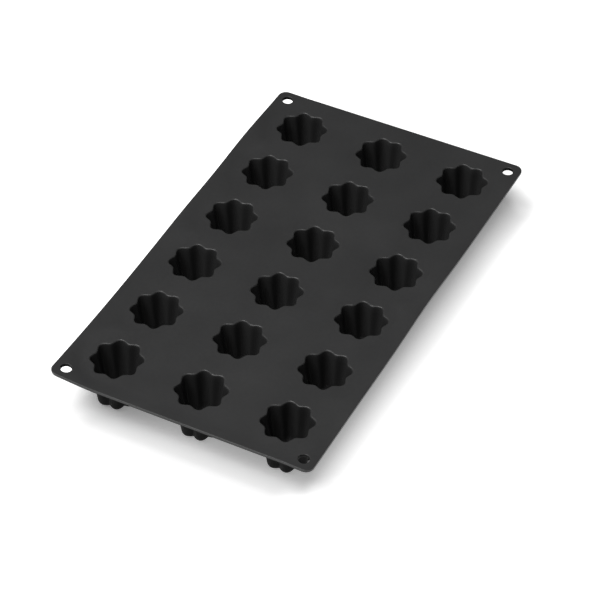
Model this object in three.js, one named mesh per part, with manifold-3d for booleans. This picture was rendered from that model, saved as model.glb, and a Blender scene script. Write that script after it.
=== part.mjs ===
// Silicone canele mould: a flexible sheet that carries rows of fluted cups, in millimetres.
// It stands on the feet of its cups: +Z up, +Y along the sheet, origin under the sheet's middle.
// The real mould is one shot of silicone. It is divided here where it moves in use:
// the sheet bends along a flex line between rows, and each cup's floor is pushed up to free the cake.
import * as THREE from "three";
import { mergeVertices } from "three/addons/utils/BufferGeometryUtils.js";
import Module from "manifold-3d";

const wasm = await Module();
wasm.setup();

// Sheet
const SHEET_LENGTH = 300;
const SHEET_WIDTH = 175;
const SHEET_THICKNESS = 2.4;
const CORNER_RADIUS = 5.5;
const EDGE_ROUND = 0.8;

// Hanging holes, one in each corner
const HANG_HOLE_DIAMETER = 7.5;
const HANG_HOLE_LAND = 4.25; // sheet left between a hole and the sheet's edges

// Cup pattern, spread evenly inside the margins
const ROWS = 6;
const COLUMNS = 3;
const EDGE_MARGIN = 30; // from the sheet's edge to the axis of the outer cups

// Cups
const CUP_HEIGHT = 31; // from the feet to the top of the sheet
const MOUTH_RADIUS = 15.1; // mean inside radius at the mouth, before the lip is rounded
const WALL_THICKNESS = 2;
const FLOOR_THICKNESS = 2;
const CUP_DRAFT = THREE.MathUtils.degToRad(7.5);
const FLUTES = 8;
const FLUTE_DEPTH = 1.25; // how far a lobe stands out of the mean radius, and a valley inside it
const GROOVE_SOFTNESS = 0.15; // 0 leaves a sharp crease between two lobes on the outside
const LIP_ROUND = 0.9;
const FOOT_ROUND = 3.5;

// Fits
const SEAM_GAP = 0.3; // between pieces that are one skin on the real mould
const FLEX_LIMIT = THREE.MathUtils.degToRad(46); // a flex line bends this far before its edges would meet

// Facets
const POINTS_PER_FLUTE = 6;
const FOOT_STEPS = 2;
const PAD_SEGMENTS = 20;
const HOLE_SEGMENTS = 20;
const CORNER_STEPS = 4;
const CUT_OVERRUN = 2; // how far a cutting solid runs past what it cuts

const sheetTop = CUP_HEIGHT;
const sheetUnder = CUP_HEIGHT - SHEET_THICKNESS;
const sheetMiddle = CUP_HEIGHT - SHEET_THICKNESS / 2;
const collarRadius = MOUTH_RADIUS + WALL_THICKNESS; // mean outside radius of a cup at the sheet's top
const edgeRound = Math.min(EDGE_ROUND, 0.4 * SHEET_THICKNESS);
const lipRound = Math.min(LIP_ROUND, 0.6 * WALL_THICKNESS);

// Cup pattern
function placesAlong(length, count) {
  const pitch = (length - 2 * EDGE_MARGIN) / (count - 1);
  return Array.from({ length: count }, (_, i) => (i - (count - 1) / 2) * pitch);
}
const rowPlaces = placesAlong(SHEET_LENGTH, ROWS);
const columnPlaces = placesAlong(SHEET_WIDTH, COLUMNS);

// Radii of the cup's wall
const outsideRadius = (z) => collarRadius - Math.tan(CUP_DRAFT) * (CUP_HEIGHT - z);
const insideRadius = (z) => outsideRadius(z) - WALL_THICKNESS;
const footTangent = Math.tan((Math.PI / 2 - CUP_DRAFT) / 2);
const padSeatRadius = outsideRadius(0) - FOOT_ROUND * footTangent;
const innerFootRound = (insideRadius(FLOOR_THICKNESS) - padSeatRadius) / footTangent;

// Closed mesh to solid and back, for cutting
function solidOf(geometry) {
  const bare = geometry.index ? geometry.toNonIndexed() : geometry.clone();
  bare.deleteAttribute("normal");
  bare.deleteAttribute("uv");
  const merged = mergeVertices(bare, 1e-4);
  return new wasm.Manifold(
    new wasm.Mesh({
      numProp: 3,
      vertProperties: merged.attributes.position.array,
      triVerts: new Uint32Array(merged.index.array),
    }),
  );
}

function geometryOf(solid) {
  const mesh = solid.getMesh();
  const geometry = new THREE.BufferGeometry();
  geometry.setAttribute("position", new THREE.BufferAttribute(mesh.vertProperties, mesh.numProp));
  geometry.setIndex(new THREE.BufferAttribute(mesh.triVerts, 1));
  geometry.computeVertexNormals();
  return geometry;
}

// How far the fluted wall stands off its mean radius. Inside it is a soft wave. Outside it is a ring
// of round columns with narrow grooves, which keeps the wall even. Valleys face along and across the sheet.
const waveInside = (angle) => -FLUTE_DEPTH * Math.cos(FLUTES * angle);
const columnsOutside = (angle) => {
  const column = Math.hypot(Math.sin((FLUTES * angle) / 2), GROOVE_SOFTNESS) / Math.hypot(1, GROOVE_SOFTNESS);
  return FLUTE_DEPTH * (2 * column - 1);
};

// A turned form whose radius swells into lobes. Each profile point has a radius, a height, the swell
// that it follows and its share of that swell.
function flutedLathe(profile) {
  const points = profile.map(({ r, z }) => new THREE.Vector2(r, z));
  const geometry = new THREE.LatheGeometry(points, FLUTES * POINTS_PER_FLUTE);
  const position = geometry.attributes.position;
  for (let i = 0; i < position.count; i += 1) {
    const { r, swell, share } = profile[i % profile.length];
    const angle = Math.atan2(position.getX(i), position.getZ(i));
    const swollen = r + share * swell(angle);
    position.setX(i, swollen * Math.sin(angle));
    position.setZ(i, swollen * Math.cos(angle));
  }
  return geometry.rotateX(Math.PI / 2);
}

// Points of a rounded foot, from the flat under the cup up to its wall. The lobes fade out
// towards the flat, which is a plain circle.
function footArc(baseHeight, round, steps, swell) {
  return Array.from({ length: steps + 1 }, (_, i) => {
    const turned = i / steps;
    const angle = -Math.PI / 2 + turned * (Math.PI / 2 - CUP_DRAFT);
    return {
      r: padSeatRadius + round * Math.cos(angle),
      z: baseHeight + round + round * Math.sin(angle),
      swell,
      share: Math.sqrt(Math.sin((turned * Math.PI) / 2)),
    };
  });
}

function cupWallGeometry() {
  const outside = footArc(0, FOOT_ROUND, FOOT_STEPS, columnsOutside);
  const inside = footArc(FLOOR_THICKNESS, innerFootRound, FOOT_STEPS - 1, waveInside).reverse();
  const lipFoot = sheetTop - lipRound;
  const lip = [
    { r: collarRadius, z: sheetTop, swell: columnsOutside, share: 1 },
    { r: insideRadius(sheetTop) + lipRound, z: sheetTop, swell: waveInside, share: 1 },
    { r: insideRadius(lipFoot), z: lipFoot, swell: waveInside, share: 1 },
  ];
  return flutedLathe([...outside, ...lip, ...inside, outside[0]]);
}

function cupFloorGeometry() {
  const radius = padSeatRadius - SEAM_GAP;
  const profile = [
    new THREE.Vector2(0, 0),
    new THREE.Vector2(radius, 0),
    new THREE.Vector2(radius, FLOOR_THICKNESS),
    new THREE.Vector2(0, FLOOR_THICKNESS),
  ];
  return new THREE.LatheGeometry(profile, PAD_SEGMENTS).rotateX(Math.PI / 2);
}

// The opening that a cup leaves in the sheet
function mouthCutter() {
  const points = Array.from({ length: FLUTES * POINTS_PER_FLUTE }, (_, i) => {
    const angle = (2 * Math.PI * i) / (FLUTES * POINTS_PER_FLUTE);
    const radius = collarRadius + SEAM_GAP + columnsOutside(angle);
    return new THREE.Vector2(radius * Math.sin(angle), radius * Math.cos(angle));
  });
  const depth = SHEET_THICKNESS + 2 * CUT_OVERRUN;
  const cutter = new THREE.ExtrudeGeometry(new THREE.Shape(points), { depth, bevelEnabled: false });
  return cutter.translate(0, 0, sheetUnder - CUT_OVERRUN);
}

// The whole sheet with its rounded corners, rounded edges and hanging holes, before it is cut
function sheetBlank() {
  const x = SHEET_WIDTH / 2;
  const y = SHEET_LENGTH / 2;
  const c = CORNER_RADIUS;
  const outline = new THREE.Shape();
  outline.moveTo(-x + c, -y).lineTo(x - c, -y).absarc(x - c, -y + c, c, -Math.PI / 2, 0);
  outline.lineTo(x, y - c).absarc(x - c, y - c, c, 0, Math.PI / 2);
  outline.lineTo(-x + c, y).absarc(-x + c, y - c, c, Math.PI / 2, Math.PI);
  outline.lineTo(-x, -y + c).absarc(-x + c, -y + c, c, Math.PI, 1.5 * Math.PI);
  const blank = new THREE.ExtrudeGeometry(outline, {
    depth: SHEET_THICKNESS - 2 * edgeRound,
    bevelSize: edgeRound,
    bevelOffset: -edgeRound,
    bevelThickness: edgeRound,
    bevelSegments: 1,
    curveSegments: CORNER_STEPS,
  });
  return solidOf(blank.translate(0, 0, sheetUnder + edgeRound));
}

// A hanging hole with rounded edges at both faces of the sheet
function hangHoleCutter() {
  const radius = HANG_HOLE_DIAMETER / 2;
  const profile = [
    [0, sheetUnder - CUT_OVERRUN],
    [radius + edgeRound, sheetUnder - CUT_OVERRUN],
    [radius + edgeRound, sheetUnder],
    [radius, sheetUnder + edgeRound],
    [radius, sheetTop - edgeRound],
    [radius + edgeRound, sheetTop],
    [radius + edgeRound, sheetTop + CUT_OVERRUN],
    [0, sheetTop + CUT_OVERRUN],
  ].map(([r, z]) => new THREE.Vector2(r, z));
  return new THREE.LatheGeometry(profile, HOLE_SEGMENTS).rotateX(Math.PI / 2);
}

function cutSheet() {
  const inset = HANG_HOLE_LAND + HANG_HOLE_DIAMETER / 2;
  const holes = [-1, 1].flatMap((sx) =>
    [-1, 1].map((sy) =>
      hangHoleCutter().translate(sx * (SHEET_WIDTH / 2 - inset), sy * (SHEET_LENGTH / 2 - inset), 0),
    ),
  );
  const mouths = rowPlaces.flatMap((y) => columnPlaces.map((x) => mouthCutter().translate(x, y, 0)));
  return [...holes, ...mouths].reduce((sheet, cutter) => sheet.subtract(solidOf(cutter)), sheetBlank());
}

// The length of sheet that belongs to one row. Where it meets a neighbour its edge comes to a
// blunt nose on the sheet's middle plane, so both strips can tilt about the flex line.
function stripBlock(index) {
  const half = SHEET_THICKNESS / 2;
  const setBack = SEAM_GAP / 2 + half * Math.tan(FLEX_LIMIT / 2);
  const flexLine = (i) => (rowPlaces[i] + rowPlaces[i + 1]) / 2;
  const outline = new THREE.Shape();
  const edge = (line, inward) => [
    [line + inward * setBack, sheetUnder],
    [line + inward * (SEAM_GAP / 2), sheetMiddle],
    [line + inward * setBack, sheetTop],
  ];
  const sheetEnd = (side) => {
    const end = side * (SHEET_LENGTH / 2 + CUT_OVERRUN);
    return [
      [end, sheetUnder],
      [end, sheetTop],
    ];
  };
  const front = index === 0 ? sheetEnd(-1) : edge(flexLine(index - 1), 1);
  const back = index === ROWS - 1 ? sheetEnd(1) : edge(flexLine(index), -1);
  [...front, ...back.reverse()].forEach(([y, z], i) => (i ? outline.lineTo(y, z) : outline.moveTo(y, z)));
  const reach = SHEET_WIDTH / 2 + CUT_OVERRUN;
  const block = new THREE.ExtrudeGeometry(outline, { depth: 2 * reach, bevelEnabled: false });
  // The outline was drawn as (along, up) and pulled out across the sheet
  const turn = new THREE.Matrix4().makeBasis(
    new THREE.Vector3(0, 1, 0),
    new THREE.Vector3(0, 0, 1),
    new THREE.Vector3(1, 0, 0),
  );
  return block.applyMatrix4(turn).translate(-reach, 0, 0);
}

const silicone = (name) =>
  new THREE.MeshStandardMaterial({ name, color: 0x373737, roughness: 0.55, metalness: 0 });
const sheetSilicone = silicone("sheet_silicone");
const cupSilicone = silicone("cup_silicone");
const floorSilicone = silicone("floor_silicone");

function named(name, geometry, material) {
  const mesh = new THREE.Mesh(geometry, material);
  mesh.name = name;
  return mesh;
}

const sheet = cutSheet();
const wallGeometry = cupWallGeometry();
const floorGeometry = cupFloorGeometry();

const mould = new THREE.Group();
rowPlaces.forEach((y, row) => {
  const strip = geometryOf(sheet.intersect(solidOf(stripBlock(row))));
  const rowGroup = new THREE.Group();
  rowGroup.position.y = y;
  rowGroup.add(named(`sheet_row_${row + 1}`, strip.translate(0, -y, 0), sheetSilicone));
  columnPlaces.forEach((x, column) => {
    const place = `r${row + 1}_c${column + 1}`;
    const cup = new THREE.Group();
    cup.position.x = x;
    cup.add(named(`cup_wall_${place}`, wallGeometry, cupSilicone));
    cup.add(named(`cup_floor_${place}`, floorGeometry, floorSilicone));
    rowGroup.add(cup);
  });
  mould.add(rowGroup);
});

export default mould;
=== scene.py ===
# %% [markdown]
# # A silicone canele mould
# The real mould is a single shot of black silicone: a flat sheet, about two and a half millimetres thick,
# with fluted cups hanging below it. Nothing is fastened to it, so all the interest is in the soft lips, the
# flutes and the satin skin. The frame that is loaded here already has the right sizes and the parts that
# move. This lesson dresses it: it models the skin as a person would in Blender, and gives it a finish, a
# floor, lights and a camera.

# %% Load the frame
import math

import bpy
from mathutils import Matrix, Vector


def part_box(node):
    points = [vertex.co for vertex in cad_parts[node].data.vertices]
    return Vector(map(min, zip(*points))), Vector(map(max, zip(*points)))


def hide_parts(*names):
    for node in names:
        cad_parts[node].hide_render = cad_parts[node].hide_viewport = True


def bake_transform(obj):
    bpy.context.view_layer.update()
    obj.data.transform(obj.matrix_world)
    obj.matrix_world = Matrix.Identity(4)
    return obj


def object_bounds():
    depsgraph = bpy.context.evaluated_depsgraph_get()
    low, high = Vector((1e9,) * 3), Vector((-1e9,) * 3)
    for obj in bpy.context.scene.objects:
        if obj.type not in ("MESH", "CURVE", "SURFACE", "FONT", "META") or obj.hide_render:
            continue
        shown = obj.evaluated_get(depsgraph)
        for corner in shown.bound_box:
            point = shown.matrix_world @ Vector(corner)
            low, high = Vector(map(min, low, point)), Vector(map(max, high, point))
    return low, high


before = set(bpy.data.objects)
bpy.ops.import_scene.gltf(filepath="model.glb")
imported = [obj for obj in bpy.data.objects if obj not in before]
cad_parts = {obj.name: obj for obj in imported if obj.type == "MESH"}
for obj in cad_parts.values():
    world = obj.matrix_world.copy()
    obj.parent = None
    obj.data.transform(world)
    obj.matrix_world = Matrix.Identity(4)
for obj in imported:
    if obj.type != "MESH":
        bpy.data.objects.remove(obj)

cad_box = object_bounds()
print("frame from", [round(v, 4) for v in cad_box[0]], "to", [round(v, 4) for v in cad_box[1]])

# %% [markdown]
# ## Sizes
# Blender's own unit is the metre, so a helper turns the millimetres that a maker would think in. The size of
# the sheet and the places of the cups could be typed again, but they are measured on the frame, so that the
# skin fits it. The cups stand in a grid of rows along Y and columns along X.

# %% Sizes of the sheet and places of the cups
def mm(value):
    return value / 1000


def to_micron(value):
    return round(value, 6)


def middle_of(node):
    """The middle of a node's box in the frame."""
    return [to_micron((low + high) / 2) for low, high in zip(*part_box(node))]


SHEET_WIDTH, SHEET_LENGTH, SHEET_TOP = (to_micron(high - low) for low, high in zip(*cad_box))
SHEET_UNDER = to_micron(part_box("sheet_row_1")[0].z)
SHEET_THICKNESS = SHEET_TOP - SHEET_UNDER
ROW_PLACES = [middle_of(f"cup_floor_r{row}_c1")[1] for row in range(1, 7)]
COLUMN_PLACES = [middle_of(f"cup_floor_r1_c{column}")[0] for column in range(1, 4)]
print(len(ROW_PLACES) * len(COLUMN_PLACES), "cups on a sheet of", SHEET_WIDTH, "by", SHEET_LENGTH, "m")

# %% [markdown]
# ## Working like a hand in edit mode
# An operator acts on whatever is selected, so each piece starts with nothing selected. Vertices, edges and
# faces are then picked by where they are, which is what a person does with a mouse. These helpers only
# select, name or finish.

# %% Selecting by place
def deselect_all():
    if bpy.context.mode != "OBJECT":
        bpy.ops.object.mode_set(mode="OBJECT")
    bpy.ops.object.select_all(action="DESELECT")


def make_active(piece):
    """Selects one piece alone and makes it the one that operators work on."""
    deselect_all()
    piece.select_set(True)
    bpy.context.view_layer.objects.active = piece


def pick(piece, kind, test):
    """Selects the vertices or edges of a piece that pass a test, and goes into edit mode."""
    bpy.ops.object.mode_set(mode="EDIT")
    bpy.ops.mesh.select_mode(type=kind)
    bpy.ops.mesh.select_all(action="DESELECT")
    bpy.ops.object.mode_set(mode="OBJECT")
    mesh = piece.data
    if kind == "VERT":
        for vertex in mesh.vertices:
            vertex.select = test(vertex.co)
    else:
        for edge in mesh.edges:
            edge.select = test(*(mesh.vertices[index].co for index in edge.vertices))
    bpy.ops.object.mode_set(mode="EDIT")


def near(a, b, tolerance=1e-6):
    return abs(a - b) < tolerance


def settle(piece, name):
    """Leaves edit mode, names the piece and its mesh, and puts its place into its mesh."""
    make_active(piece)
    bpy.ops.object.transform_apply(location=True, rotation=True, scale=True)
    piece.name = piece.data.name = name
    return piece


# %% [markdown]
# ## One cup
# A cup is a turned form with flutes. It could be spun from a drawn profile, but pulling a circle ring by ring
# shows how the wall is built: extrude the ring, move it down, scale it, and repeat. The mouth starts from a
# flat flange that lies in the sheet's top, rolls over a soft lip, runs down a drafted wall and turns through
# a round foot into the floor. The same circle is then picked again and pulled down the outside. The walls
# repeat the frame's sizes, and the lip and the foot are rounder than the frame's, as the photo shows them.

# %% Profile of the cup
MOUTH_RADIUS = mm(15.1)
WALL = mm(2)
FLOOR = mm(2)
DRAFT = math.radians(7.5)
LIP_ROUND = mm(1.05)
LIP_LAND = mm(0.5)
FOOT_ROUND = mm(5.9)
ROOT_ROUND = mm(1.2)
FLANGE_RADIUS = mm(18.7)
LIP_STEPS, WALL_STEPS, INNER_FOOT_STEPS, FOOT_STEPS, ROOT_STEPS = 8, 16, 10, 12, 6
FLAT_SHARES = (0.75, 0.5, 0.25)


def outside_radius(z):
    return MOUTH_RADIUS + WALL - math.tan(DRAFT) * (SHEET_TOP - z)


def inside_radius(z):
    return outside_radius(z) - WALL


def arc(centre, radius, start, end, steps):
    """Points (radius from the axis, height) along an arc, angles in degrees."""
    turns = [math.radians(start + (end - start) * i / steps) for i in range(steps + 1)]
    return [(centre[0] + radius * math.cos(t), centre[1] + radius * math.sin(t)) for t in turns]


def straight(a, b, steps):
    """Points between a and b, without both ends."""
    return [(a[0] + (b[0] - a[0]) * i / steps, a[1] + (b[1] - a[1]) * i / steps) for i in range(1, steps)]


draft_degrees = math.degrees(DRAFT)
foot_tangent = math.tan((math.pi / 2 - DRAFT) / 2)
FLAT_RADIUS = outside_radius(0) - FOOT_ROUND * foot_tangent
inner_foot_round = (inside_radius(FLOOR) - FLAT_RADIUS) / foot_tangent
lip_height = SHEET_TOP - LIP_ROUND
lip_centre = inside_radius(lip_height + LIP_ROUND * math.sin(DRAFT)) + LIP_ROUND * math.cos(DRAFT)
root_height = SHEET_UNDER - ROOT_ROUND
root_centre = outside_radius(root_height + ROOT_ROUND * math.sin(DRAFT)) + ROOT_ROUND * math.cos(DRAFT)

lip = arc((lip_centre, lip_height), LIP_ROUND, 90, 180 - draft_degrees, LIP_STEPS)
inner_foot_centre = (FLAT_RADIUS, FLOOR + inner_foot_round)
inner_foot = arc(inner_foot_centre, inner_foot_round, -draft_degrees, -90, INNER_FOOT_STEPS)
inside = [(lip_centre + LIP_LAND, SHEET_TOP)] + lip
inside += straight(lip[-1], inner_foot[0], WALL_STEPS) + inner_foot
inside += [(FLAT_RADIUS * share, FLOOR) for share in FLAT_SHARES]
root = arc((root_centre, root_height), ROOT_ROUND, 90, 180 - draft_degrees, ROOT_STEPS)
foot = arc((FLAT_RADIUS, FOOT_ROUND), FOOT_ROUND, -draft_degrees, -90, FOOT_STEPS)
outside = [(FLANGE_RADIUS, SHEET_UNDER)] + root + straight(root[-1], foot[0], WALL_STEPS) + foot
outside += [(FLAT_RADIUS * share, 0) for share in FLAT_SHARES]
print(len(inside), "rings inside and", len(outside), "outside, flat foot radius", round(FLAT_RADIUS, 5))

# %% [markdown]
# ### Pulling the rings
# The ring count is a multiple of eight, so every flute gets the same points. Each pull ends by merging its
# last ring at the centre, which closes the floor, and the normals are made to agree at the end.

# %% Pull the cup from a circle
RING_POINTS = 128


def pull_ring(start, rings):
    """Extrudes the selected ring through a list of radii and heights, and closes it at its centre."""
    radius, height = start
    for next_radius, next_height in rings:
        bpy.ops.mesh.extrude_region_move(TRANSFORM_OT_translate={"value": (0, 0, next_height - height)})
        scale = next_radius / radius
        bpy.ops.transform.resize(value=(scale, scale, 1), center_override=(0, 0, next_height))
        radius, height = next_radius, next_height
    bpy.ops.mesh.extrude_region_move()
    bpy.ops.mesh.merge(type="CENTER")


def add_ring(radius, height, points):
    """Adds a circle at a height, with its place in its mesh, and selects its points."""
    deselect_all()
    bpy.ops.mesh.primitive_circle_add(vertices=points, radius=radius, location=(0, 0, 0))
    piece = bpy.context.object
    piece.data.transform(Matrix.Translation((0, 0, height)))
    pick(piece, "VERT", lambda co: True)
    return piece


def pick_ring(piece, radius, height):
    pick(piece, "VERT", lambda co: near(co.z, height) and near(math.hypot(co.x, co.y), radius))


def face_outwards():
    bpy.ops.mesh.select_all(action="SELECT")
    bpy.ops.mesh.normals_make_consistent(inside=False)
    bpy.ops.object.mode_set(mode="OBJECT")


cup = add_ring(FLANGE_RADIUS, SHEET_TOP, RING_POINTS)
pull_ring((FLANGE_RADIUS, SHEET_TOP), inside)
pick_ring(cup, FLANGE_RADIUS, SHEET_TOP)
pull_ring((FLANGE_RADIUS, SHEET_TOP), outside)
face_outwards()
settle(cup, "cup_pattern")
print("plain cup:", len(cup.data.vertices), "points,", len(cup.data.polygons), "faces")

# %% [markdown]
# ## The flutes
# Eight flutes run round the wall. They could be sculpted or lofted, but the inside is a plain cosine of the
# angle, so each point is moved in or out along its radius. A skin of even thickness round that wave has wide
# lobes and narrow grooves, so the outside follows a ring of round columns instead. The flutes keep their
# depth down to the edge of the flat foot. The valleys face along and across the sheet.

# %% Flute the cup
FLUTES = 8
FLUTE_DEPTH = mm(1.25)
COLUMN_DEPTH = mm(1.55)
GROOVE_SOFTNESS = 0.15
A_HAIR = mm(0.01)
FLANGE_EDGE = FLANGE_RADIUS - mm(0.1)
SMOOTH_ANGLE = math.radians(35)


def wave_inside(angle):
    return -FLUTE_DEPTH * math.cos(FLUTES * angle)


def columns_outside(angle):
    column = math.hypot(math.sin(FLUTES * angle / 2), GROOVE_SOFTNESS) / math.hypot(1, GROOVE_SOFTNESS)
    return COLUMN_DEPTH * (2 * column - 1)


def is_outside(radius, height):
    """True on the skin that shows from below, without the flange that lies in the sheet."""
    if height > SHEET_UNDER + A_HAIR or radius > FLANGE_EDGE:
        return False
    return height < FLOOR / 2 or radius > inside_radius(height) + WALL / 2


def flute(piece):
    for vertex in piece.data.vertices:
        radius = math.hypot(vertex.co.x, vertex.co.y)
        if near(radius, 0):
            continue
        angle = math.atan2(vertex.co.y, vertex.co.x)
        wave = columns_outside(angle) if is_outside(radius, vertex.co.z) else wave_inside(angle)
        fade = min(1, radius / FLAT_RADIUS) ** 2
        swell = 1 + wave * fade / radius
        vertex.co.x *= swell
        vertex.co.y *= swell


flute(cup)
bpy.ops.object.shade_smooth_by_angle(angle=SMOOTH_ANGLE)
print("fluted cup is", round(cup.dimensions.x, 4), "m across its flange")

# %% [markdown]
# ## The sheet
# The sheet is flat, with round corners and a soft edge. It starts as a cube at its full size. Its upright
# corner edges are bevelled to the corner radius, and then the top and bottom outlines are bevelled, the
# bottom one more than the top one: a crisp top edge gives the thin bright line that the photo shows.

# %% Blank of the sheet
CORNER_RADIUS = mm(5.5)
EDGE_ROUND_TOP = mm(0.45)
EDGE_ROUND_UNDER = mm(1.1)
CORNER_SEGMENTS, EDGE_SEGMENTS = 12, 6

deselect_all()
bpy.ops.mesh.primitive_cube_add(size=1, location=(0, 0, 0))
sheet = bpy.context.object
sheet.data.transform(Matrix.Diagonal((SHEET_WIDTH, SHEET_LENGTH, SHEET_THICKNESS, 1)))
sheet.data.transform(Matrix.Translation((0, 0, SHEET_TOP - SHEET_THICKNESS / 2)))
pick(sheet, "EDGE", lambda a, b: not near(a.z, b.z))
bpy.ops.mesh.bevel(offset=CORNER_RADIUS, segments=CORNER_SEGMENTS, affect="EDGES")
for height, edge_round in ((SHEET_TOP, EDGE_ROUND_TOP), (SHEET_UNDER, EDGE_ROUND_UNDER)):
    pick(sheet, "EDGE", lambda a, b: near(a.z, height) and near(b.z, height))
    bpy.ops.mesh.bevel(offset=edge_round, segments=EDGE_SEGMENTS, affect="EDGES")
settle(sheet, "sheet_blank")
print("blank:", len(sheet.data.polygons), "faces")

# %% [markdown]
# ## The openings
# The sheet has a mouth for each cup and a hanging hole in each corner. They are cut with a Boolean by a set
# of cutters: a fluted plug for each cup, and for each hole a spool that flares at both faces, so that the cut
# leaves a rounded lip. A bevel after the cut would do that too, but it is less sure on faces with many
# points.

# %% Cutters
HANG_HOLE_RADIUS = mm(3.45)
HANG_HOLE_INSET = mm(8)
HANG_HOLE_LIP = mm(0.45)
HOLE_POINTS, HOLE_LIP_STEPS = 48, 6
CUT_OVERRUN = mm(1)


def plug(rings, points):
    """A closed cutter pulled from a circle through its rings."""
    piece = add_ring(*rings[0], points)
    pull_ring(rings[0], rings[1:])
    pick_ring(piece, *rings[0])
    bpy.ops.mesh.edge_face_add()
    face_outwards()
    return piece


cutter_top, cutter_under = SHEET_TOP + CUT_OVERRUN, SHEET_UNDER - CUT_OVERRUN
mouth_rings = [(FLANGE_RADIUS - A_HAIR, cutter_top), (FLANGE_RADIUS - A_HAIR, cutter_under)]
flare_centre = HANG_HOLE_RADIUS + HANG_HOLE_LIP
flare_top = arc((flare_centre, SHEET_TOP - HANG_HOLE_LIP), HANG_HOLE_LIP, 90, 180, HOLE_LIP_STEPS)
flare_under = arc((flare_centre, SHEET_UNDER + HANG_HOLE_LIP), HANG_HOLE_LIP, 180, 270, HOLE_LIP_STEPS)
spool_rings = [(flare_centre, cutter_top)] + flare_top + flare_under + [(flare_centre, cutter_under)]

cutters = []
for y in ROW_PLACES:
    for x in COLUMN_PLACES:
        cutter = plug(mouth_rings, RING_POINTS)
        flute(cutter)
        cutter.data.transform(Matrix.Translation((x, y, 0)))
        cutters.append(cutter)
hole_x, hole_y = SHEET_WIDTH / 2 - HANG_HOLE_INSET, SHEET_LENGTH / 2 - HANG_HOLE_INSET
for x in (-hole_x, hole_x):
    for y in (-hole_y, hole_y):
        cutter = plug(spool_rings, HOLE_POINTS)
        cutter.data.transform(Matrix.Translation((x, y, 0)))
        cutters.append(cutter)
make_active(cutters[0])
for cutter in cutters:
    cutter.select_set(True)
bpy.ops.object.join()
all_cutters = bpy.context.object
print(len(cutters), "cutters joined,", len(all_cutters.data.vertices), "points")

# %% Cut the openings
make_active(sheet)
bpy.ops.object.modifier_add(type="BOOLEAN")
cut = sheet.modifiers[-1]
cut.operation, cut.solver, cut.object = "DIFFERENCE", "EXACT", all_cutters
bpy.ops.object.modifier_apply(modifier=cut.name)
bpy.data.objects.remove(all_cutters)
print("cut sheet:", len(sheet.data.vertices), "points,", len(sheet.data.polygons), "faces")

# %% [markdown]
# ## Skin that bends
# The sheet has to bend between the rows, along flex lines half way between them, and its loose margin curls a
# little. A flat face can't bend, so the webs between the rows and the margin are cut across by planes, which
# is what a loop cut does by hand.

# %% Cut the webs and the margin across
WEB_HALF = mm(5.3)
WEB_STEPS = 14
MARGIN_STEP = mm(5)
ROW_CUTS, END_CUTS, SIDE_CUTS = range(-3, 4), range(1, 6), range(1, 13)

flex_lines = [(a + b) / 2 for a, b in zip(ROW_PLACES, ROW_PLACES[1:])]
web_shares = [2 * step / WEB_STEPS - 1 for step in range(WEB_STEPS + 1)]
cuts = [(0, line + WEB_HALF * share, 0) for line in flex_lines for share in web_shares]
cuts += [(0, y + MARGIN_STEP * step, 0) for y in ROW_PLACES for step in ROW_CUTS]
for side in (-1, 1):
    cuts += [(0, side * (SHEET_LENGTH / 2 - MARGIN_STEP * step / 2), 0) for step in END_CUTS]
    cuts += [(side * (SHEET_WIDTH / 2 - MARGIN_STEP * step / 2), 0, 0) for step in SIDE_CUTS]
bpy.ops.object.mode_set(mode="EDIT")
for place in cuts:
    bpy.ops.mesh.select_all(action="SELECT")
    bpy.ops.mesh.bisect(plane_co=place, plane_no=(1, 0, 0) if place[0] else (0, 1, 0))
bpy.ops.object.mode_set(mode="OBJECT")
print(len(cuts), "cuts leave", len(sheet.data.polygons), "faces")

# %% [markdown]
# ### Flat faces that stay flat to the light
# Smooth shading would bend the light on a large flat face towards its rounded rim. Weighted normals could
# help, but marking the edge between a flat face and a rounded one as sharp is simpler and surer.

# %% Mark the flat faces off from the rounded edges
FLAT_NORMAL = 0.99999

bpy.ops.object.shade_smooth_by_angle(angle=SMOOTH_ANGLE)
edge_flatness = {}
for face in sheet.data.polygons:
    for key in face.edge_keys:
        edge_flatness.setdefault(key, set()).add(abs(face.normal.z) > FLAT_NORMAL)
sharp_keys = {key for key, flatness in edge_flatness.items() if len(flatness) == 2}
bpy.ops.object.mode_set(mode="EDIT")
bpy.ops.mesh.select_mode(type="EDGE")
bpy.ops.mesh.select_all(action="DESELECT")
bpy.ops.object.mode_set(mode="OBJECT")
for edge in sheet.data.edges:
    edge.select = tuple(sorted(edge.vertices)) in sharp_keys
bpy.ops.object.mode_set(mode="EDIT")
bpy.ops.mesh.mark_sharp()
bpy.ops.object.mode_set(mode="OBJECT")
print(len(sharp_keys), "edges marked sharp")

# %% [markdown]
# ## The curl of the margin
# Silicone never lies quite flat. In the photo the front left corner is turned up by a few millimetres, and
# the long edges rise and fall a little. A person would use proportional editing. Here each point is lifted
# by a sum of soft hills, and the lift fades out before the nearest cup, so the mouths stay where they are.

# %% Lift the margin
CORNER_HEIGHT, CORNER_REACH_X, CORNER_REACH_Y = mm(3.4), mm(55), mm(95)
MARGIN_REACH = mm(22)
CUP_CLEARANCE, CUP_FADE = mm(1.4), mm(9)
# side of the sheet, middle of the hill along Y, its half width and its height
EDGE_HILLS = [
    (1, mm(6), mm(34), mm(2.1)),
    (1, mm(-145), mm(35), mm(-0.8)),
    (-1, mm(97), mm(34), mm(1.7)),
    (-1, mm(15), mm(34), mm(0.9)),
    (-1, mm(40), mm(120), mm(0.5)),
]


def ease(share):
    share = max(0, min(1, share))
    return share * share * (3 - 2 * share)


def clear_of_cups(x, y):
    """0 by the mouth of a cup, 1 out in the margin. A product has no crease between two cups."""
    distances = [math.hypot(x - column, y - row) for row in ROW_PLACES for column in COLUMN_PLACES]
    return math.prod(ease((distance - FLANGE_RADIUS - CUP_CLEARANCE) / CUP_FADE) for distance in distances)


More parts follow.
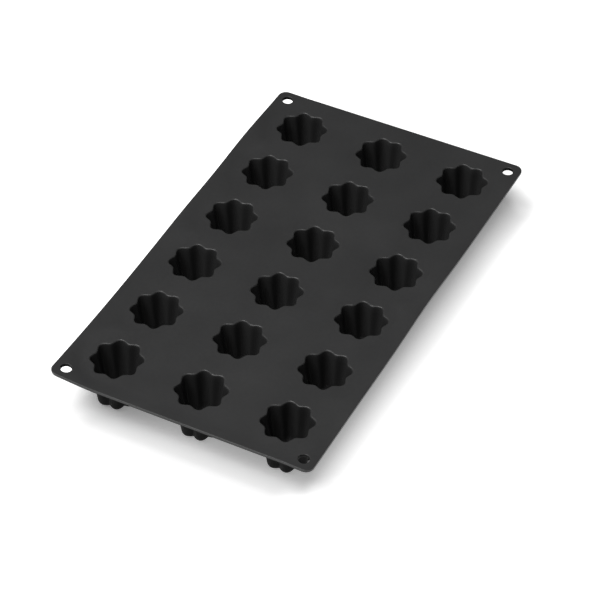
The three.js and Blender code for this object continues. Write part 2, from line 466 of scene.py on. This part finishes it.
def corner_lift(x, y):
    """The front left corner, turned up."""
    along_x = max(0, 1 - abs(x + SHEET_WIDTH / 2) / CORNER_REACH_X)
    along_y = max(0, 1 - abs(y + SHEET_LENGTH / 2) / CORNER_REACH_Y)
    return CORNER_HEIGHT * (along_x * along_y) ** 2


def edge_lift(x, y, side, middle, width, height):
    out = ease(1 - (SHEET_WIDTH / 2 - side * x) / MARGIN_REACH)
    return height * out * math.exp(-((y - middle) / width) ** 2)


def lift(x, y):
    hills = corner_lift(x, y) + sum(edge_lift(x, y, *hill) for hill in EDGE_HILLS)
    return hills * clear_of_cups(x, y)


for vertex in sheet.data.vertices:
    vertex.co.z += lift(vertex.co.x, vertex.co.y)
print("highest point", round(max(vertex.co.z for vertex in sheet.data.vertices), 5))

# %% [markdown]
# ## Pieces that span the flex lines
# The sheet could be divided at the flex lines, but then each fold would lie on a seam. It is divided along
# the middle of each row, where it stays flat, so each piece spans one flex line.

# %% Divide the sheet at the middle of each row
def cut_off(piece, y, keep_above):
    """Keeps one side of a plane across the sheet and closes the cut."""
    pick(piece, "VERT", lambda co: True)
    bpy.ops.mesh.bisect(
        plane_co=(0, y, 0), plane_no=(0, 1, 0),
        use_fill=True, clear_inner=keep_above, clear_outer=not keep_above,
    )
    bpy.ops.object.mode_set(mode="OBJECT")


def copy_of(piece):
    """A copy with its own mesh."""
    make_active(piece)
    bpy.ops.object.duplicate(linked=False)
    return bpy.context.object


sheet_skins = []
for index in range(len(flex_lines)):
    skin = copy_of(sheet)
    if index > 0:
        cut_off(skin, ROW_PLACES[index], True)
    if index < len(flex_lines) - 1:
        cut_off(skin, ROW_PLACES[index + 1], False)
    settle(skin, f"sheet_skin_{index + 1}_{index + 2}")
    bpy.ops.object.shade_smooth_by_angle(angle=SMOOTH_ANGLE, keep_sharp_edges=True)
    sheet_skins.append(skin)
    print(skin.name, len(skin.data.polygons), "faces")
bpy.data.objects.remove(sheet)

# %% [markdown]
# ## Eighteen cups
# The finished cup is copied to every place of the grid. Linked copies would be lighter, but each copy gets
# its own mesh, and its place goes into that mesh, so that a pattern on object coordinates keeps its scale and
# direction.

# %% Copy the cup to its places
cup_skins = {}
for row, y in enumerate(ROW_PLACES, 1):
    for column, x in enumerate(COLUMN_PLACES, 1):
        skin = copy_of(cup)
        bpy.ops.transform.translate(value=(x, y, 0))
        cup_skins[row, column] = settle(skin, f"cup_skin_r{row}_c{column}")
bpy.data.objects.remove(cup)
print(len(cup_skins), "cups placed")

# %% [markdown]
# ## Sums of shader values
# A finish is a sum of patterns. It could be wired node by node, but a small class that wraps a socket lets
# the sums be written as they are thought of: each plus or times adds a Math node.

# %% Shader sums
class Wire:
    """One output of a shader node. Sums and products of wires add Math nodes."""

    def __init__(self, tree, socket):
        self.tree = tree
        self.socket = socket

    def node(self, kind, settings=(), sockets=(), output=0):
        """Adds a node of a type, with its settings first and then the values or wires of its sockets."""
        made = self.tree.nodes.new(kind)
        for name, value in dict(settings).items():
            setattr(made, name, value)
        for name, value in dict(sockets).items():
            if isinstance(value, Wire):
                self.tree.links.new(value.socket, made.inputs[name])
            else:
                made.inputs[name].default_value = value
        return Wire(self.tree, made.outputs[output])

    def sum_of(self, operation, first, second):
        return self.node("ShaderNodeMath", {"operation": operation}, {0: first, 1: second})

    def __add__(self, other):
        return self.sum_of("ADD", self, other)

    __radd__ = __add__

    def __sub__(self, other):
        return self.sum_of("SUBTRACT", self, other)

    def __rsub__(self, other):
        return self.sum_of("SUBTRACT", other, self)

    def __mul__(self, other):
        return self.sum_of("MULTIPLY", self, other)

    __rmul__ = __mul__


# %% [markdown]
# ## Satin silicone
# Black silicone is never quite black. It has a soft grey bloom, a fine grain from the spark-eroded steel that
# it was moulded in, and a sheen that spreads wide. A plain dark colour would look like paint. Here a fine
# grain and broad, shallow waves give the bump, clouds shift the colour and the roughness a little, and the
# cup walls are a touch smoother than the sheet, because the cakes have to slide out of them, and darker,
# which is painted shade in the cups. The underside is duller, as it comes from the other half of the tool,
# and much darker, which is painted shade under the sheet and the cups, so the faces that look down get a
# second material made by the same function.

# %% The silicone
GREY_DARK = (0.0235, 0.0235, 0.0238, 1)
GREY_BLOOM = (0.0400, 0.0400, 0.0403, 1)
# The cup colour is darker than the sheet's: painted shade in the cups.
CUP_PAINTED_SHADE = (0.0250, 0.0250, 0.0252, 1)
# The underside colours are far darker than the top: painted shade under the sheet and the cups.
UNDER_SHADE_BLACK = (0.0052, 0.0052, 0.0053, 1)
UNDER_SHADE_BLOOM = (0.0075, 0.0075, 0.0076, 1)
GRAIN_SCALE, SMEAR_SCALE, CLOUD_SCALE, WAVE_SCALE = 3200, 420, 28, 13
CUP_SHADE_AND_POLISH_FROM, CUP_SHADE_AND_POLISH_TO = SHEET_TOP - mm(0.5), SHEET_TOP - mm(5)
BUMP_STRENGTH, BUMP_DISTANCE = 0.2, mm(0.05)
SILICONE_IOR = 1.41


def silicone(name, dark, bloom, cup_shade, roughness, sheen):
    """A silicone skin: two greys in clouds, a cup colour that is painted shade, its roughness and sheen."""
    material = bpy.data.materials.new(name)
    material.use_nodes = True
    tree = material.node_tree
    skin = tree.nodes["Principled BSDF"]
    start = Wire(tree, None)
    place = start.node("ShaderNodeTexCoord", output="Object")

    def noise(scale, detail):
        sockets = {"Vector": place, "Scale": scale, "Detail": detail, "Roughness": 0.55}
        return start.node("ShaderNodeTexNoise", {}, sockets)

    def mixed(factor, a, b):
        sockets = {"Factor": factor, "A": a, "B": b}
        return start.node("ShaderNodeMix", {"data_type": "RGBA"}, sockets, output="Result")

    grain, smear, cloud = (noise(scale, 2) for scale in (GRAIN_SCALE, SMEAR_SCALE, CLOUD_SCALE))
    wave = noise(WAVE_SCALE, 0)
    height = start.node("ShaderNodeSeparateXYZ", {}, {"Vector": place}, output="Z")
    # In the cups the colour turns darker, which is painted shade, and the roughness lower, which is real
    # polish.
    cup_range = {"From Min": CUP_SHADE_AND_POLISH_FROM, "From Max": CUP_SHADE_AND_POLISH_TO, "To Min": 0, "To Max": 1}
    cup_shade_and_polish = start.node("ShaderNodeMapRange", {"clamp": True}, {"Value": height, **cup_range})
    clouded = mixed(cloud * 0.65 + smear * 0.25 + grain * 0.1, dark, bloom)
    colour = mixed(cup_shade_and_polish, clouded, cup_shade)
    rough = roughness + (cloud - 0.5) * 0.10 + (smear - 0.5) * 0.08 - cup_shade_and_polish * 0.05
    relief = grain * 0.65 + smear * 1.5 + wave * 360
    bump_sockets = {"Height": relief, "Strength": BUMP_STRENGTH, "Distance": BUMP_DISTANCE}
    bump = start.node("ShaderNodeBump", {}, bump_sockets)
    tree.links.new(colour.socket, skin.inputs["Base Color"])
    tree.links.new(rough.socket, skin.inputs["Roughness"])
    tree.links.new(bump.socket, skin.inputs["Normal"])
    skin.inputs["IOR"].default_value = SILICONE_IOR
    skin.inputs["Specular IOR Level"].default_value = sheen
    print(name, "has", len(tree.nodes), "nodes")
    return material


satin = silicone("satin_silicone", GREY_DARK, GREY_BLOOM, CUP_PAINTED_SHADE, 0.40, 0.5)
# The matt skin's dark colours are painted shade on the faces that look down and in the hanging holes.
matt = silicone("matt_shaded_underside", UNDER_SHADE_BLACK, UNDER_SHADE_BLOOM, UNDER_SHADE_BLACK, 0.6, 0.12)

# %% [markdown]
# ### Above and below
# Each skin holds both materials, and each face takes one of them by its direction. The walls of the hanging
# holes go with the underside and get its painted shade: they lie in shade, and a satin wall there would
# glitter.

# %% Dress the skins
SHEET_LOOKS_DOWN, CUP_LOOKS_DOWN, HOLE_WALL = -0.1, -0.02, 0.6


def dress(piece, is_shaded_under):
    """Gives a piece the satin skin, and the painted-shade skin on the faces that a test calls its underside.
    """
    piece.data.materials.clear()
    for material in (satin, matt):
        piece.data.materials.append(material)
    for face in piece.data.polygons:
        face.material_index = 1 if is_shaded_under(face.center, face.normal) else 0


def shaded_under_sheet(centre, normal):
    """The faces that look down, and the walls of the hanging holes: those that get the painted shade."""
    from_hole = math.hypot(abs(centre.x) - hole_x, abs(centre.y) - hole_y)
    in_hole = from_hole < HANG_HOLE_RADIUS + HANG_HOLE_LIP
    return normal.z < SHEET_LOOKS_DOWN or (in_hole and normal.z < HOLE_WALL)


for piece in sheet_skins:
    dress(piece, shaded_under_sheet)
for piece in cup_skins.values():
    dress(piece, lambda centre, normal: normal.z < CUP_LOOKS_DOWN)
print("satin above and matt below on", len(sheet_skins) + len(cup_skins), "skins")

# %% [markdown]
# ## In place of the frame
# The real mould has no seams. Each skin's place is put into its mesh, and the parts of the frame that the
# skins stand in for, the sheet rows and the cup walls and floors, are hidden.

# %% Put the skins in place and hide the frame's parts
for index, skin in enumerate(sheet_skins):
    line = flex_lines[index]
    f"row_{index + 1}"
    f"row_{index + 2}"
    line - WEB_HALF
    line + WEB_HALF
    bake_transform(skin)
    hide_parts(f"sheet_row_{index + 1}")
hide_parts(f"sheet_row_{len(ROW_PLACES)}")
for (row, column), skin in cup_skins.items():
    x, y = COLUMN_PLACES[column - 1], ROW_PLACES[row - 1]
    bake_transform(skin)
    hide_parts(f"cup_wall_r{row}_c{column}", f"cup_floor_r{row}_c{column}")
print(len(sheet_skins) + len(cup_skins), "skins ride on the frame")

# %% [markdown]
# ## The floor
# The mould is shown on a plain white sweep. More light would make it white, but would wash out the mould too.
# So the floor is a matt white that keeps the soft shadow, with a little light of its own that only the camera
# and reflections see. Deep under the mould there is none of it. Beside the mould the camera sees more of it,
# as a retoucher leaves the paper bare and keeps the shadow close to the product, and towards the back less.
# Just before the front edge it fades out again, most of all at the left, so that the shadow ends softly.

# %% Floor
FLOOR_SIZE, FLOOR_DROP = 8, mm(0.2)
FLOOR_WHITE, SHADOW_GLOW, OUTER_GLOW, FAR_GLOW = 1.0, 0.34, 0.4, 0.2
SLOW_DIM, BACK_DIM, LEFT_DIM = 0.18, 0.17, 0.78
UNDER_SIDE, UNDER_FRONT, UNDER_BACK = (mm(66), mm(76)), (mm(116), mm(125)), (mm(140), mm(165))
BESIDE, FAR_ASIDE, LEFTWARDS = (mm(73), mm(90)), (mm(105), mm(160)), (0, mm(120))
FRONT_TO_BACK, NEAR_BACK = (mm(-130), mm(110)), (mm(95), mm(150))
FADE_START, FADE_END, FADE_SIDE = (mm(137.5), mm(149)), (mm(155), mm(200)), (mm(61), mm(78))

deselect_all()
bpy.ops.mesh.primitive_plane_add(size=FLOOR_SIZE, location=(0, 0, -FLOOR_DROP))
floor = bpy.context.object
floor.name = floor.data.name = "white_sweep"
sweep_paper = bpy.data.materials.new("sweep_paper")
sweep_paper.use_nodes = True
paper = sweep_paper.node_tree.nodes["Principled BSDF"]
paper.inputs["Base Color"].default_value = (FLOOR_WHITE, FLOOR_WHITE, FLOOR_WHITE, 1)
paper.inputs["Roughness"].default_value = 0.9
paper.inputs["Specular IOR Level"].default_value = 0
paper.inputs["Emission Strength"].default_value = 1
start = Wire(sweep_paper.node_tree, None)
ray_kinds = ("Camera", "Glossy", "Transmission")
seen = [start.node("ShaderNodeLightPath", output=f"Is {kind} Ray") for kind in ray_kinds]
place = start.node("ShaderNodeTexCoord", output="Object")
across, along = (start.node("ShaderNodeSeparateXYZ", {}, {"Vector": place}, output=axis) for axis in "XY")


def ramp(value, span):
    """0 up to the near end of a span of distances, 1 from its far end."""
    low, high = span
    sockets = {"Value": value, "From Min": low, "From Max": high, "To Min": 0, "To Max": 1}
    return start.node("ShaderNodeMapRange", {"interpolation_type": "SMOOTHSTEP"}, sockets)


def larger(a, b):
    return start.sum_of("MAXIMUM", a, b)


aside = start.sum_of("ABSOLUTE", across, 0)
forwards = 0 - along
past_front = ramp(forwards, UNDER_FRONT)
out_from_under = larger(ramp(aside, UNDER_SIDE), larger(past_front, ramp(along, UNDER_BACK)))
far_aside = ramp(aside, FAR_ASIDE)
beside = ramp(aside, BESIDE) * OUTER_GLOW + far_aside * FAR_GLOW
strength = sum(seen) * out_from_under * SHADOW_GLOW + seen[0] * beside

to_back = ramp(along, FRONT_TO_BACK) * SLOW_DIM + ramp(along, NEAR_BACK) * BACK_DIM
near_front = 1 - ramp(forwards, FADE_END)
before_front = near_front * ramp(forwards, FADE_START) * (1 - ramp(aside, FADE_SIDE))
left_front = near_front * past_front * ramp(0 - across, LEFTWARDS) * (1 - far_aside) * LEFT_DIM
strength = strength * (1 - to_back) * (1 - before_front) * (1 - left_front)
glow = start.node("ShaderNodeCombineColor", {}, {channel: strength for channel in ("Red", "Green", "Blue")})
sweep_paper.node_tree.links.new(glow.socket, paper.inputs["Emission Color"])
floor.data.materials.append(sweep_paper)
print("floor", floor.name)

# %% [markdown]
# ## The light
# The key light is a softbox at the front left: it draws the bright line along the front edge and the thin
# lines on the far lips, and lights one flank of each flute. A wide, weak one overhead and a faint even world
# fill the rest. A single lamp would leave the cups black.

# %% Lamps
WORLD_STRENGTH = 0.08


def soft_lamp(name, place, size, power):
    deselect_all()
    bpy.ops.object.light_add(type="AREA", location=place)
    lamp = bpy.context.object
    lamp.name = lamp.data.name = name
    lamp.data.shape = "SQUARE"
    lamp.data.size = size
    lamp.data.energy = power
    lamp.rotation_euler = (Vector((0, 0, 0)) - Vector(place)).to_track_quat("-Z", "Y").to_euler()
    print(name, "at", place)


soft_lamp("overhead_softbox", (0.2, -0.8, 2.9), 2.2, 13.5)
soft_lamp("left_softbox", (-0.92, -0.92, 2.8), 1.9, 96)

world = bpy.data.worlds.new("even_light")
bpy.context.scene.world = world
world.use_nodes = True
sky = world.node_tree.nodes["Background"]
sky.inputs["Color"].default_value = (1, 1, 1, 1)
sky.inputs["Strength"].default_value = WORLD_STRENGTH
print("world strength", WORLD_STRENGTH)

# %% [markdown]
# ## Camera
# The photograph was taken with a long lens from the front right, about forty three degrees above the table.
# The sheet's four corners and its grid of cups give the angles, the distance and the lens. A tracking
# constraint could aim the camera, but it is set by its own three directions, so that the small roll of the
# picture can be kept.

# %% Camera
AZIMUTH, ELEVATION, ROLL = math.radians(27.912), math.radians(43.179), math.radians(-0.728)
DISTANCE, OFF_RIGHT, OFF_DOWN = mm(1735.352), mm(2.91), mm(20.28)
FOCAL_PIXELS, IMAGE_PIXELS, SENSOR = 2811.391, 600, 36

level_back = math.cos(ELEVATION)
back = Vector((math.sin(AZIMUTH) * level_back, -math.cos(AZIMUTH) * level_back, math.sin(ELEVATION)))
level = Vector((math.cos(AZIMUTH), math.sin(AZIMUTH), 0))
steep = back.cross(level)
right = level * math.cos(ROLL) + steep * math.sin(ROLL)
up = steep * math.cos(ROLL) - level * math.sin(ROLL)

deselect_all()
bpy.ops.object.camera_add()
camera = bpy.context.object
camera.name = camera.data.name = "studio_camera"
turn = Matrix((right, up, back)).transposed().to_4x4()
turn.translation = Vector((0, 0, SHEET_TOP)) + back * DISTANCE + right * OFF_RIGHT - up * OFF_DOWN
camera.matrix_world = turn
camera.data.sensor_width = SENSOR
camera.data.lens = FOCAL_PIXELS / IMAGE_PIXELS * SENSOR
camera.data.clip_start, camera.data.clip_end = 0.05, 50
bpy.context.scene.camera = camera
bpy.context.scene.view_settings.view_transform = "Standard"
print("camera at", [round(v, 3) for v in camera.location], "lens", round(camera.data.lens, 1))

# %% [markdown]
# ## The end
# The view layer is brought up to date.

# %% The end
bpy.context.view_layer.update()
